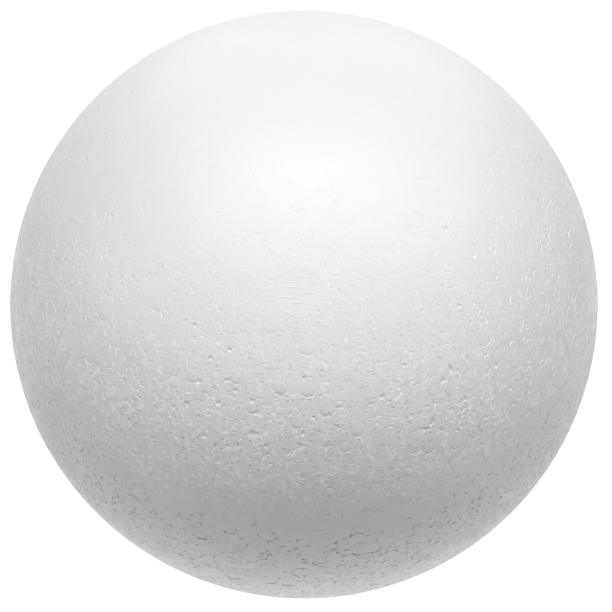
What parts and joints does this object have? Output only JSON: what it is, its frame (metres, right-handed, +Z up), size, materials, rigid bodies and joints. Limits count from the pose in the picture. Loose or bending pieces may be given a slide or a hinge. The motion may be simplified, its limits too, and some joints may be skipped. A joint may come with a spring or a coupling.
{
  "type": "polystyrene ball",
  "caption": "Solid round ball moulded from expanded polystyrene beads, with a small slotted vent mark from its mould.",
  "frame": {"origin": "the centre of the ball", "axes": "+Z up; the slotted vent mark is on the front, towards -Y, a little above the waist"},
  "size_m": [0.15, 0.15, 0.15],
  "materials": {
    "polystyrene": "white expanded polystyrene, fused beads with a soft sheen"
  },
  "bodies": {
    "root": {"ball": "polystyrene"}
  },
  "joints": []
}
